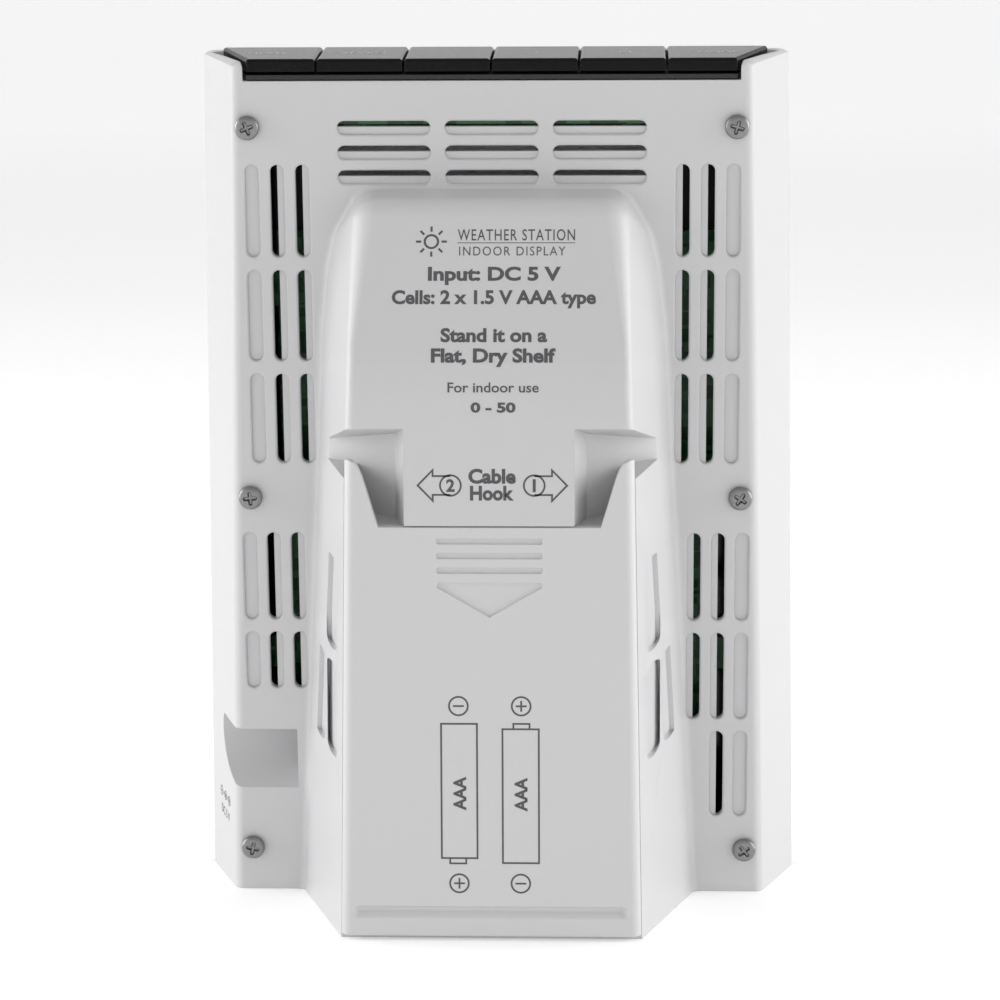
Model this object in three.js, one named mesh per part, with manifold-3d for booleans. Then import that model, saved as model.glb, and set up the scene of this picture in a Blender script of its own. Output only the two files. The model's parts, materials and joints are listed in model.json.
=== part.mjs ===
// Home weather station: a portrait desktop display with six keys along its top edge, a vented
// white case, and a hump at the back that holds two AAA cells behind a sliding door and props
// the station up. The case is drawn in the frame of its back panel (+Y out of the panel, +Z up
// along it) and the whole group is then leaned back so that the underside lies flat.
// Units are millimetres.
import * as THREE from 'three';
import { mergeVertices } from 'three/addons/utils/BufferGeometryUtils.js';
import Module from 'manifold-3d';

const wasm = await Module();
wasm.setup();

// ---- driving dimensions -------------------------------------------------------------------
const lean = THREE.MathUtils.degToRad(6.5);
const gap = 0.3;                    // clearance between neighbouring pieces
const wall = 2.2;                   // shell thickness
const caseDepth = 25;               // front rim to back panel
const frontHalf = 70.4;             // half width of the front rim at mid height
const frontFlare = 0.0185;          // how much each half widens per millimetre downwards
const panelHalf = 61.5;             // half width of the back panel at mid height
const panelFlare = 0.0219;
const panelTop = 99.8;
const panelBottom = -96.2;
const shoulderTop = 104.2;          // top of the walls at both ends of the key row
const soleAtPanel = -97.6;          // height of the underside below the back panel
const bezelThickness = 3;
const bezelInset = 0.9;

const crestAtZero = 32.8;           // height of the door's face above the panel at mid height
const humpFoot = soleAtPanel - 4;   // the hump is drawn past the underside and cut there
const doorThickness = 2.3;
const doorTop = 3.1;

const keyPitch = 20;
const keyRowHalf = 56;              // half length of the key row at its back edge
const keyRowSpread = 0.36;          // the row lengthens towards the front by this much per mm
const keyTop = 104.6;
const keyBottom = 101.6;
const keyFront = -21.5;

const slotLength = 21.5;
const slotWidth = 3.2;
const slotStep = 24.6;              // end to end pitch of the vents
const ventFloor = 0.9;              // depth of the ledge inside each vent
const mouthChamfer = 0.3;           // softened edge round each vent

const cellRadius = 5.2;
const cellLength = 44;
const cellOffset = 7.2;             // half the distance between the two cells
const cellMid = -58;

const screws = [[56, 89], [57.6, 1.4], [59.4, -86.5]];
const bossRadius = 3.3;
const screwRadius = 1.35;
const boardY = -17.6;               // front face of the main board
const boardThickness = 1.6;

// ---- materials ----------------------------------------------------------------------------
function finish(color, roughness, metalness = 0) {
  return new THREE.MeshStandardMaterial({ color, roughness, metalness });
}
const whitePlastic = finish(0xdcdcda, 0.5);
const doorPlastic = finish(0xe0e0de, 0.48);
const glossBlack = finish(0x0b0b0c, 0.12);
const blackPlastic = finish(0x151515, 0.45);
const clearPlastic = finish(0xdfe6ea, 0.05);
const screenGlass = finish(0x1a2430, 0.1);
const lightGuide = finish(0xf2f4f5, 0.3);
const boardGreen = finish(0x1f5b35, 0.5);
const steel = finish(0x9a9a98, 0.3, 1);
const nickel = finish(0xb9b6ae, 0.28, 1);
const ferrite = finish(0x3a3735, 0.6);
const copper = finish(0xb06a3a, 0.35, 1);
const cellJacket = finish(0x2f4d3a, 0.3);
const tinCan = finish(0xaeb0b2, 0.3, 1);

// ---- solids -------------------------------------------------------------------------------
function toSolid(geometry) {
  geometry.deleteAttribute('normal');
  geometry.deleteAttribute('uv');
  const merged = mergeVertices(geometry, 1e-4);
  return new wasm.Manifold(new wasm.Mesh({
    numProp: 3,
    vertProperties: new Float32Array(merged.attributes.position.array),
    triVerts: new Uint32Array(merged.index.array),
  }));
}

function toGeometry(solid) {
  const mesh = solid.getMesh();
  const geometry = new THREE.BufferGeometry();
  geometry.setAttribute('position', new THREE.BufferAttribute(mesh.vertProperties, 3));
  geometry.setIndex(new THREE.BufferAttribute(mesh.triVerts, 1));
  return geometry;
}

// Box from two opposite corners, each given as x, y, z.
function block(x0, x1, y0, y1, z0, z1) {
  const geometry = new THREE.BoxGeometry(x1 - x0, y1 - y0, z1 - z0);
  geometry.translate((x0 + x1) / 2, (y0 + y1) / 2, (z0 + z1) / 2);
  return toSolid(geometry);
}

// Outline drawn in x and z, pushed along y.
function slab(outline, y0, y1) {
  const shape = new THREE.Shape(outline.map(([x, z]) => new THREE.Vector2(x, z)));
  const geometry = new THREE.ExtrudeGeometry(shape, { depth: y1 - y0, bevelEnabled: false });
  geometry.rotateX(Math.PI / 2);
  geometry.translate(0, y1, 0);
  return toSolid(geometry);
}

// Outline drawn in y and z, pushed along x.
function profile(outline, x0, x1) {
  const shape = new THREE.Shape(outline.map(([y, z]) => new THREE.Vector2(y, z)));
  const geometry = new THREE.ExtrudeGeometry(shape, { depth: x1 - x0, bevelEnabled: false });
  geometry.applyMatrix4(new THREE.Matrix4().set(0, 0, 1, 0, 1, 0, 0, 0, 0, 1, 0, 0, 0, 0, 0, 1));
  geometry.translate(x0, 0, 0);
  return toSolid(geometry);
}

function hull(points) {
  return wasm.Manifold.hull(points);
}

// Outline in x and z of a rectangle with round corners, grown all round.
function softRect(x0, x1, z0, z1, radius, grow = 0) {
  const steps = 4;
  const points = [];
  for (const [index, [sx, sz]] of [[1, 1], [-1, 1], [-1, -1], [1, -1]].entries()) {
    const cx = sx > 0 ? x1 - radius : x0 + radius;
    const cz = sz > 0 ? z1 - radius : z0 + radius;
    for (let step = 0; step <= steps; step += 1) {
      const angle = (index + step / steps) * (Math.PI / 2);
      points.push([cx + (radius + grow) * Math.cos(angle), cz + (radius + grow) * Math.sin(angle)]);
    }
  }
  return points;
}

// Hull of outlines in x and z, each at its own y.
function loft(layers) {
  return hull(layers.flatMap(([y, outline]) => outline.map(([x, z]) => [x, y, z])));
}

// Round bar between two values along one axis, centred on the other two.
function bar(axis, radius, from, to, a, b, sides = 20) {
  const geometry = new THREE.CylinderGeometry(radius, radius, to - from, sides);
  const mid = (from + to) / 2;
  if (axis === 'x') {
    geometry.rotateZ(Math.PI / 2);
    geometry.translate(mid, a, b);
  } else if (axis === 'y') {
    geometry.translate(a, mid, b);
  } else {
    geometry.rotateX(Math.PI / 2);
    geometry.translate(a, b, mid);
  }
  return toSolid(geometry);
}

function joined(solids) {
  return solids.reduce((whole, solid) => whole.add(solid));
}

function cut(solid, tools) {
  return tools.length ? solid.subtract(joined(tools)) : solid;
}

// ---- shape of the case --------------------------------------------------------------------
function frontEdge(z) {
  return frontHalf - frontFlare * z;
}

function panelEdge(z) {
  return panelHalf - panelFlare * z;
}

function soleHeight(y) {
  return soleAtPanel + y * Math.tan(lean);
}

function crestHeight(z) {
  return crestAtZero - z * Math.tan(lean);
}

// Everything above a plane parallel to the underside, at the given height over it.
function aboveSole(height) {
  const back = 90;
  const front = -60;
  return profile([
    [front, soleHeight(front) + height],
    [back, soleHeight(back) + height],
    [back, 200],
    [front, 200],
  ], -120, 120);
}

// Four corners of one slice through the flaring body.
function slice(y, edge, inset, top, bottom) {
  return [
    [-(edge(top) - inset), y, top],
    [edge(top) - inset, y, top],
    [edge(bottom) - inset, y, bottom],
    [-(edge(bottom) - inset), y, bottom],
  ];
}

// Half width part of the way from the panel to the front rim.
function sideEdge(y) {
  const part = -y / caseDepth;
  return (z) => panelEdge(z) + (frontEdge(z) - panelEdge(z)) * part;
}

function bodyOutside() {
  const low = -104;
  const round = 1.7;
  const layers = [
    ...slice(-caseDepth, frontEdge, 0, shoulderTop - 1.6, low),
    ...slice(-caseDepth, frontEdge, 1.0, shoulderTop - 1.0, low),
    ...slice(-caseDepth, frontEdge, 2.4, shoulderTop - 0.7, low),
  ];
  for (const degrees of [0, 22, 45, 68, 90]) {
    const angle = THREE.MathUtils.degToRad(degrees);
    const inset = round * (1 - Math.cos(angle));
    const y = -round * (1 - Math.sin(angle));
    const bottom = degrees < 45 ? low : panelBottom - 0.7 * (1 - Math.sin(angle));
    layers.push(...slice(y, sideEdge(y), inset, shoulderTop - 1.1 - inset, bottom));
    layers.push(...slice(y, sideEdge(y), inset + 1.2, shoulderTop - 0.3 - inset, bottom));
  }
  return hull(layers);
}

// The space inside the body, drawn in by a clearance where a piece has to fit it.
function bodyInside(clearance) {
  const top = panelTop - 0.2 - wall - clearance;
  const inset = wall + clearance;
  return hull([
    ...slice(-caseDepth - 1, frontEdge, inset, top, -104),
    ...slice(-inset, sideEdge(-inset), inset + 0.3, top, -104),
  ]).intersect(aboveSole(inset));
}

// Balls whose hull is the hump: x and z, height of the centre, radius. The crest's edges are
// small rounds and the top corners large ones; the lowest row lies inside the body.
const crestRound = 2.4;
const humpBalls = [
  [25.7, 67.1, 6.4, 7],
  [29.9, 42.3, 25.48 - crestRound, crestRound],
  [29.95, 38.7, 26.98 - crestRound, crestRound],
  [30.0, 34.8, 28.21 - crestRound, crestRound],
  [30.1, 31, 29.1 - crestRound, crestRound],
  [30.2, 27, crestHeight(27) - crestRound, crestRound],
  [32.3, humpFoot, crestHeight(humpFoot) - crestRound, crestRound],
  [26.6, 68.4, -6, 7],
  [32.4, 58.5, -6, 7],
  [33.9, 45, -6, 7],
  [42, humpFoot, -6, 7],
];

// The hump, or with an inset the space inside its wall.
function humpShape(inset) {
  const balls = [];
  for (const [x, z, y, radius] of humpBalls) {
    const ball = wasm.Manifold.sphere(radius - inset, radius > 5 ? 40 : 24);
    balls.push(ball.translate([x, y, z]), ball.translate([-x, y, z]));
  }
  return wasm.Manifold.hull(balls);
}

// Fillet where the hump meets the panel, as offsets of the hump's outline at rising heights.
function humpFillet() {
  const lying = humpShape(0).rotate([90, 0, 0]);
  const rings = [[1.32, 0], [0.78, 0.089], [0.37, 0.348], [0.09, 0.75], [0, 1.256]]
    .map(([offset, height]) => lying.slice(height).offset(offset, 'Round', 2, 40)
      .toPolygons()[0].map(([x, z]) => [x, height, -z]));
  const base = rings[0].map(([x, , z]) => [x, -1, z]);
  const skirts = [hull([...base, ...rings[0]])];
  for (let level = 1; level < rings.length; level += 1) {
    skirts.push(hull([...rings[level - 1], ...rings[level]]));
  }
  return joined(skirts);
}

// The space above a plane that runs parallel to the door's face, this far below it.
function aboveCrest(depth, z0, z1) {
  return profile([
    [crestHeight(z0) - depth, z0],
    [crestHeight(z1) - depth, z1],
    [90, z1],
    [90, z0],
  ], -60, 60);
}

// Outline of the door with its two horns; grow widens it all round for the seat.
function doorOutline(grow) {
  const right = [[25.2 - grow, doorTop + grow], [26.3 - grow, 6.6], [28.7 - grow, 14.4],
    [29.6 - grow, 16.5 + grow], [30.5, 17.7 + grow], [31.7, 18.2 + grow], [33.2, 18 + grow],
    [34.6, 17.2 + grow], [42, 11 + grow], [42, -130]];
  const left = right.map(([x, z]) => [-x, z]).reverse();
  return slab([...left, ...right], -5, 90);
}

// ---- vents --------------------------------------------------------------------------------
const ventColumns = {
  upper: [55.3, 49.5, 43.7],
  lower: [58.1, 52.5, 46.8],
};

// A recess with round ends and a softened mouth.
function recess(x0, x1, z0, z1, depth, radius) {
  const walls = softRect(x0, x1, z0, z1, radius);
  const mouth = softRect(x0, x1, z0, z1, radius, mouthChamfer);
  return loft([[-depth, walls], [-mouthChamfer, walls]])
    .add(loft([[-mouthChamfer, walls], [0, mouth], [0.5, mouth]]));
}

// A shallow upright recess whose outer half goes right through the panel, unless it is blind.
function uprightVent(side, x, top, bottom, blind) {
  const centre = side * x;
  const half = slotWidth / 2;
  const tool = recess(centre - half, centre + half, bottom, top, ventFloor, half - 0.01);
  if (blind) return [tool];
  const outline = softRect(centre - half, centre + half, bottom, top, half - 0.01);
  const outer = side > 0 ? [centre, centre + 4] : [centre - 4, centre];
  const through = loft([[-wall - 1, outline], [-ventFloor / 2, outline]]);
  return [tool, through.intersect(block(outer[0], outer[1], -9, 1, bottom - 1, top + 1))];
}

function levelVent(x, top) {
  const half = slotLength / 2;
  const radius = slotWidth / 2 - 0.01;
  const outline = softRect(x - half, x + half, top - slotWidth, top, radius);
  const through = loft([[-wall - 1, outline], [-ventFloor / 2, outline]]);
  const upper = block(x - half - 1, x + half + 1, -9, 1, top - slotWidth / 2 + 0.2, top + 1);
  return [recess(x - half, x + half, top - slotWidth, top, ventFloor, radius),
    through.intersect(upper)];
}

// Vents that run on into the hump's slope: level floors, and never through its wall.
function slopeVents(side) {
  return [[37.2, -7.4, 15.4], [37.2, -32, 15.4], [41.1, -32, 8.8]].map(([x, top, floor]) => {
    const half = slotWidth / 2;
    const outline = softRect(side * x - half, side * x + half, top - slotLength, top, half - 0.01);
    return loft([[floor, outline], [30, outline]]).subtract(humpShape(1.1));
  });
}

function ventTools() {
  const tools = [];
  for (let row = 0; row < 3; row += 1) {
    for (const column of [-1, 0, 1]) {
      tools.push(...levelVent(column * 24.7, 90.4 - row * 5.7));
    }
  }
  for (const side of [-1, 1]) {
    for (let row = 0; row < 3; row += 1) {
      const top = 80.3 - row * slotStep;
      ventColumns.upper.forEach((x, index) => {
        tools.push(...uprightVent(side, x, top, top - slotLength, index === 0));
      });
    }
    const lowerRows = side > 0
      ? [[-7.4, slotLength], [-32, 14.1]]
      : [[-7.4, slotLength], [-32, slotLength], [-56.6, slotLength]];
    lowerRows.forEach(([top, length], row) => {
      ventColumns.lower.forEach((x, index) => {
        if (row === 2 && index === 2) return;
        tools.push(...uprightVent(side, x, top, top - length, index === 0));
      });
    });
  }
  return tools;
}

// ---- white case ---------------------------------------------------------------------------
const inletBox = { inner: 48.1, floor: -13.4, top: -56.5, bottom: -70.5 };
const notch = {
  neck: 19.3,
  crest: 32,
  knee: [21.9, 21],
  slope: 0.62,
  top: 25.4,
  bottom: 2.4,
  cheek: 30.8,
  cheekTop: 13.6,
};

function keyChannel(grow) {
  const back = keyRowHalf + grow;
  const front = back + keyRowSpread * (6 - keyFront);
  const backOut = back - keyRowSpread * 6;
  const shape = new THREE.Shape([
    new THREE.Vector2(-backOut, 6),
    new THREE.Vector2(-front, keyFront - grow),
    new THREE.Vector2(front, keyFront - grow),
    new THREE.Vector2(backOut, 6),
  ]);
  const geometry = new THREE.ExtrudeGeometry(shape, { depth: 20, bevelEnabled: false });
  geometry.translate(0, 0, panelTop - 0.2);
  return toSolid(geometry);
}

// The notch beside the neck: a steep neck wall, then a face that slopes down to the hump's side,
// under a ceiling that leans back a little. A cheek of the case stays behind the door's horn.
// Grown, it is the outside of the notch's own wall.
function cableNotch(side, grow) {
  const [kneeX, kneeY] = notch.knee;
  const reach = 24;
  const section = [
    [notch.neck - grow, 60],
    [notch.neck - grow, notch.crest],
    [kneeX - grow, kneeY - grow / 2],
    [kneeX - grow + reach, kneeY - grow / 2 - reach * notch.slope - grow / 2],
    [kneeX + reach, 60],
  ];
  const ceiling = (y) => notch.top - Math.max(0, notch.crest - 2 - y) * 0.36;
  const low = section.map(([x, y]) => [side * x, y, notch.bottom - grow]);
  const high = section.map(([x, y]) => [side * x, y, ceiling(y) + grow]);
  const brow = [
    [side * (notch.neck - grow), notch.crest - 2, notch.top + grow],
    [side * (kneeX + reach), notch.crest - 2, notch.top + grow],
  ];
  const cheek = [side * (notch.cheek + grow), side * 70].sort((a, b) => a - b);
  return hull([...low, ...high, ...brow])
    .subtract(block(cheek[0], cheek[1], -30, 70, -40, notch.cheekTop - grow));
}

// The scooped recess that holds the power inlet.
function inletScoop() {
  const { floor, top, bottom } = inletBox;
  return profile([[6, bottom - 3.2], [0.4, bottom - 0.9], [-4, bottom + 0.2], [-8, bottom + 1.9],
    [-11, bottom + 4.4], [-12.8, bottom + 7.4], [floor, bottom + 10], [floor + 0.3, top - 1.4],
    [floor + 1.5, top], [6, top]], inletBox.inner, 90);
}

function batteryTray(grow) {
  const halfWidth = cellOffset + cellRadius + 1.2 + grow;
  const halfLength = cellLength / 2 + 5 + grow;
  const tray = new THREE.BoxGeometry(2 * halfWidth, 15 + grow, 2 * halfLength);
  tray.translate(0, -(15 + grow) / 2, cellMid);
  return inDoorFrame(tray);
}

// Places a shape drawn against the door: +Y out of the door's face, +Z up along it.
function inDoorFrame(geometry) {
  geometry.rotateX(lean);
  geometry.translate(0, crestAtZero, 0);
  return toSolid(geometry);
}

function keyCentre(index) {
  const inner = (index - 2.5) * keyPitch;
  return Math.abs(inner) > 2 * keyPitch ? Math.sign(inner) * (keyRowHalf - 8) : inner;
}

function stemHole(index, half) {
  const x = keyCentre(index);
  return block(x - half, x + half, -11 - half, -11 + half, 80, 120);
}

function stemHoles(half) {
  return [0, 1, 2, 3, 4, 5].map((index) => stemHole(index, half));
}

function rearCase() {
  const outside = joined([bodyOutside(), humpShape(0), humpFillet()]).intersect(aboveSole(0));
  const humpInside = humpShape(wall).intersect(aboveSole(wall));
  const underDoor = aboveCrest(doorThickness + gap + wall, -130, 60)
    .intersect(block(-60, 60, -9, 60, -130, 29));
  let shell = outside.subtract(bodyInside(0)).subtract(humpInside.subtract(underDoor));
  const inner = [batteryTray(wall)];
  for (const side of [-1, 1]) {
    inner.push(cableNotch(side, wall));
    inner.push(block(side * 32 - 2, side * 32 + 2, -15, -1, 86.4, 88.9));
  }
  inner.push(block(inletBox.inner - wall, 90, inletBox.floor - wall, -1,
    inletBox.bottom - wall, inletBox.top + wall));
  shell = shell.add(joined(inner).intersect(outside));
  const tools = [keyChannel(gap), batteryTray(0), ...ventTools(), ...stemHoles(2.6)];
  tools.push(aboveCrest(doorThickness + gap, -130, 40).intersect(doorOutline(gap)));
  for (const side of [-1, 1]) {
    tools.push(cableNotch(side, 0), ...slopeVents(side));
    for (const [x, z] of screws) tools.push(bar('y', screwRadius + gap, -9, 5, side * x, z));
  }
  tools.push(inletScoop(), bar('x', 3.1, 40, 50, -7.4, -63.5));
  return cut(shell, tools);
}

// ---- battery door -------------------------------------------------------------------------
function doorBlock(x0, x1, y0, y1, z0, z1) {
  const geometry = new THREE.BoxGeometry(x1 - x0, y1 - y0, z1 - z0);
  geometry.translate((x0 + x1) / 2, (y0 + y1) / 2, (z0 + z1) / 2);
  return inDoorFrame(geometry);
}

function arrowRecess() {
  const shape = new THREE.Shape([[-12, -10], [-11.6, -9.6], [11.6, -9.6], [12, -10], [11.8, -10.7],
    [0, -17.5], [-11.8, -10.7]].map(([x, z]) => new THREE.Vector2(x, z)));
  const geometry = new THREE.ExtrudeGeometry(shape, { depth: 2, bevelEnabled: false });
  geometry.rotateX(Math.PI / 2);
  geometry.translate(0, 1.4, 0);
  return inDoorFrame(geometry);
}

function seated(solid) {
  return solid.rotate([THREE.MathUtils.radToDeg(lean), 0, 0]).translate([0, crestAtZero, 0]);
}

function batteryDoor() {
  const plate = humpShape(0).intersect(aboveCrest(doorThickness, -130, 40))
    .intersect(doorOutline(0)).intersect(aboveSole(1.1));
  const tools = [0, 1, 2].map((row) => {
    const top = 0.6 - row * 3.35;
    const outline = softRect(-12, 12, top - 1.3, top, 0.4);
    return seated(loft([[-0.6, outline], [2, outline]]));
  });
  tools.push(arrowRecess());
  const grooveTop = softRect(-31.8, 31.8, -87.9, -85.1, 1.3);
  const grooveFloor = softRect(-30.4, 30.4, -86.4, -85.5, 0.4);
  tools.push(seated(loft([[-1.1, grooveFloor], [0, grooveTop], [2, grooveTop]])));
  return cut(plate, tools);
}

// ---- keys ---------------------------------------------------------------------------------
function keyCap(index) {
  const ends = [-3, -2, -1, 0, 1, 2, 3].map((step) => step * keyPitch);
  const clear = 0.15;
  const edgeBack = (x) => (Math.abs(x) > 2.5 * keyPitch ? Math.sign(x) * (keyRowHalf - clear) : x);
  const edgeFront = (x) => (Math.abs(x) > 2.5 * keyPitch
    ? Math.sign(x) * (keyRowHalf - clear - keyRowSpread * keyFront) : x);
  const left = ends[index] + (index > 0 ? clear : 0);
  const right = ends[index + 1] - (index < 5 ? clear : 0);
  const layer = (z, inset) => [
    [edgeBack(left) + inset, -inset, z],
    [edgeBack(right) - inset, -inset, z],
    [edgeFront(right) - inset, keyFront + inset, z],
    [edgeFront(left) + inset, keyFront + inset, z],
  ];
  const cap = hull([
    ...layer(keyBottom, 0),
    ...layer(keyTop - 0.5, 0),
    ...layer(keyTop, 0.5),
  ]);
  const x = keyCentre(index);
  return cap.add(block(x - 2, x + 2, -13, -9, 95.6, keyBottom + 0.5));
}

function keyCarrier() {
  const half = keyRowHalf - 0.1;
  const spread = -keyRowSpread * keyFront;
  const shape = new THREE.Shape([
    new THREE.Vector2(-half, 0),
    new THREE.Vector2(-half - spread, keyFront),
    new THREE.Vector2(half + spread, keyFront),
    new THREE.Vector2(half, 0),
  ]);
  const geometry = new THREE.ExtrudeGeometry(shape, { depth: 1.1, bevelEnabled: false });
  geometry.translate(0, 0, panelTop + 0.1);
  return cut(toSolid(geometry), stemHoles(2.4));
}

function keyBoard() {
  const board = block(-51.5, 51.5, -18.2, -3, 89.2, 90.8);
  return board;
}

function switchHousing(index) {
  const x = keyCentre(index);
  const housing = block(x - 3, x + 3, -14, -8, 91.1, 94.3);
  return housing.subtract(bar('z', 2.1, 92.4, 96, x, -11, 14));
}

function switchPlunger(index) {
  return bar('z', 1.7, 93.1, 95.3, keyCentre(index), -11, 14);
}

// ---- front --------------------------------------------------------------------------------
const bezelFront = -caseDepth - gap - bezelThickness;
const windowFrame = { half: 51, top: 92, bottom: -80 };
const screenHalf = 52.2;

function frontBezel() {
  const back = -caseDepth - gap;
  const low = -104;
  const plate = hull([
    ...slice(back, frontEdge, bezelInset, shoulderTop - 1.6, low),
    ...slice(bezelFront + 1.2, frontEdge, bezelInset + 0.2, shoulderTop - 1.9, low),
    ...slice(bezelFront, frontEdge, bezelInset + 1.4, shoulderTop - 3.1, low + 1),
  ]).intersect(aboveSole(0.5));
  const parts = [plate];
  const tools = [
    block(-windowFrame.half, windowFrame.half, bezelFront - 1, back + 1,
      windowFrame.bottom, windowFrame.top),
    block(-screenHalf - gap, screenHalf + gap, bezelFront + 1.4, back + 1,
      windowFrame.bottom - 2, windowFrame.top + 2),
  ];
  for (const side of [-1, 1]) {
    for (const [x, z] of screws) {
      const boss = bar('y', bossRadius, back - 0.6, 0, side * x, z);
      parts.push(boss.intersect(bodyInside(gap)));
      tools.push(bar('y', screwRadius + gap, back + 2, 5, side * x, z));
    }
  }
  for (const [x, z] of boardScrews) {
    parts.push(bar('y', 2.6, back - 1, boardY - gap, x, z));
    tools.push(bar('y', 1.1 + gap, back + 1.5, 5, x, z));
  }
  return cut(joined(parts), tools);
}

function displayWindow() {
  const front = bezelFront + 1.4 + gap;
  return block(-screenHalf, screenHalf, front, -caseDepth - gap,
    windowFrame.bottom - 1.7, windowFrame.top + 1.7);
}

function screenPlate(y0, y1) {
  return block(-screenHalf + 1.4, screenHalf - 1.4, y0, y1, windowFrame.bottom - 0.5,
    windowFrame.top + 0.5);
}

function screenFrame() {
  const y0 = -24.9;
  const y1 = -18.9;
  const outer = block(-screenHalf + 0.2, screenHalf - 0.2, y0, y1,
    windowFrame.bottom - 1.8, windowFrame.top + 1.8);
  const hole = block(-screenHalf + 1.1, screenHalf - 1.1, y0 - 1, y1 - 1,
    windowFrame.bottom - 0.8, windowFrame.top + 0.8);
  const window = block(-44, 44, y1 - 2, y1 + 1, -72, 84);
  return cut(outer, [hole, window]);
}

// ---- electronics --------------------------------------------------------------------------
const boardScrews = [[-57.6, 48], [57.6, 48], [-58.8, -42], [58.8, -42]];

function mainBoard() {
  const board = block(-51.5, 51.5, boardY, boardY + boardThickness, -80, 62);
  const ears = boardScrews.map(([x, z]) => block(Math.min(x, 0), Math.max(x, 0), boardY,
    boardY + boardThickness, z - 4, z + 4));
  const pads = boardScrews.map(([x, z]) => bar('y', 4, boardY, boardY + boardThickness, x, z));
  const holes = boardScrews.map(([x, z]) => bar('y', 1.1 + gap, boardY - 1, boardY + 3, x, z));
  return cut(joined([board, ...ears, ...pads]), holes);
}

const boardBack = boardY + boardThickness;

function dcJack() {
  const body = block(31.4, 45.5, boardBack + gap, -wall - gap - 0.2, -69, -58);
  const bore = bar('x', 2.9, 34, 50, -7.4, -63.5);
  const pin = bar('x', 0.9, 33, 44, -7.4, -63.5, 12);
  return body.subtract(bore).add(pin);
}

const antenna = { y: -9.2, z: 52, half: 27 };

function antennaRod() {
  return bar('x', 3.6, -antenna.half, antenna.half, antenna.y, antenna.z, 18);
}

function antennaCoil() {
  const coil = bar('x', 4.9, -9, 9, antenna.y, antenna.z, 22);
  return coil.subtract(bar('x', 3.6 + gap, -20, 20, antenna.y, antenna.z, 22));
}

function antennaHolder(side) {
  const x = side * 20;
  const body = block(x - 3, x + 3, boardBack + gap, -wall - 1, antenna.z - 5.5, antenna.z + 5.5);
  return body.subtract(bar('x', 3.6 + gap, x - 5, x + 5, antenna.y, antenna.z, 22));
}

function buzzer() {
  const can = bar('y', 6, boardBack + gap, boardBack + 8, -34, 22, 28);
  return can.subtract(bar('y', 1.2, boardBack + 4, boardBack + 10, -34, 22, 12));
}

// ---- cells and contacts, drawn in the door's frame ----------------------------------------
const cellDepth = -(doorThickness + gap + 0.5 + cellRadius);

function cell(side) {
  const up = side;                  // one cell points up and the other down
  const points = [[0, 0], [cellRadius - 0.4, 0], [cellRadius, 0.5], [cellRadius, 42.3],
    [cellRadius - 0.5, 43], [1.95, 43], [1.9, cellLength], [0, cellLength]]
    .map(([r, z]) => new THREE.Vector2(r, z - cellLength / 2));
  const geometry = new THREE.LatheGeometry(points, 24);
  geometry.rotateX(up > 0 ? Math.PI / 2 : -Math.PI / 2);
  geometry.translate(side * cellOffset, cellDepth, cellMid);
  return inDoorFrame(geometry);
}

class Helix extends THREE.Curve {
  constructor(x, y, z0, z1, radius, turns) {
    super();
    Object.assign(this, { x, y, z0, z1, radius, turns });
  }

  getPoint(t, target = new THREE.Vector3()) {
    const angle = 2 * Math.PI * this.turns * t;
    return target.set(this.x + this.radius * Math.cos(angle),
      this.y + this.radius * Math.sin(angle), this.z0 + (this.z1 - this.z0) * t);
  }
}

// Conical contact springs are drawn as plain helices that sit against the end wall.
function cellSpring(side) {
  const end = -side;
  const from = cellMid + end * (cellLength / 2 + 4.3);
  const to = cellMid + end * (cellLength / 2 + 0.7);
  const path = new Helix(side * cellOffset, cellDepth, from, to, 2.6, 2.5);
  const wire = new THREE.Shape();
  for (let index = 0; index < 6; index += 1) {
    const angle = (index * Math.PI) / 3;
    const x = 0.35 * Math.cos(angle);
    const y = 0.35 * Math.sin(angle);
    if (index === 0) wire.moveTo(x, y);
    else wire.lineTo(x, y);
  }
  const geometry = new THREE.ExtrudeGeometry(wire, { steps: 36, extrudePath: path });
  return inDoorFrame(geometry);
}

function contactPlate(side) {
  const end = side;
  const z = cellMid + end * (cellLength / 2 + 4.4);
  const x = side * cellOffset;
  const geometry = new THREE.BoxGeometry(9, 9, 0.4);
  geometry.translate(x, cellDepth, z);
  const nub = new THREE.CylinderGeometry(2, 2.6, 3.6, 16);
  nub.rotateX(end > 0 ? -Math.PI / 2 : Math.PI / 2);
  nub.translate(x, cellDepth, z - end * 1.9);
  return inDoorFrame(geometry).add(inDoorFrame(nub));
}

// ---- fasteners ----------------------------------------------------------------------------
function panHeadScrew(x, z, seat, headRadius, shank, length) {
  const points = [[0, -length], [shank * 0.6, -length], [shank, -length + 1], [shank, gap],
    [headRadius, gap], [headRadius, gap + 0.7], [headRadius * 0.8, gap + 1.4],
    [headRadius * 0.45, gap + 1.8], [0, gap + 1.9]].map(([r, y]) => new THREE.Vector2(r, y));
  const geometry = new THREE.LatheGeometry(points, 20);
  geometry.translate(x, seat, z);
  const arm = headRadius * 0.55;
  const cross = joined([
    block(x - arm, x + arm, seat + gap + 0.9, seat + 4, z - 0.4, z + 0.4),
    block(x - 0.4, x + 0.4, seat + gap + 0.9, seat + 4, z - arm, z + arm),
  ]);
  return toSolid(geometry).subtract(cross);
}

// ---- assembly -----------------------------------------------------------------------------
const group = new THREE.Group();
const station = new THREE.Group();
station.rotation.x = -lean;
group.add(station);

function place(name, solid, material) {
  const mesh = new THREE.Mesh(toGeometry(solid), material);
  mesh.name = name;
  station.add(mesh);
}

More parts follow.
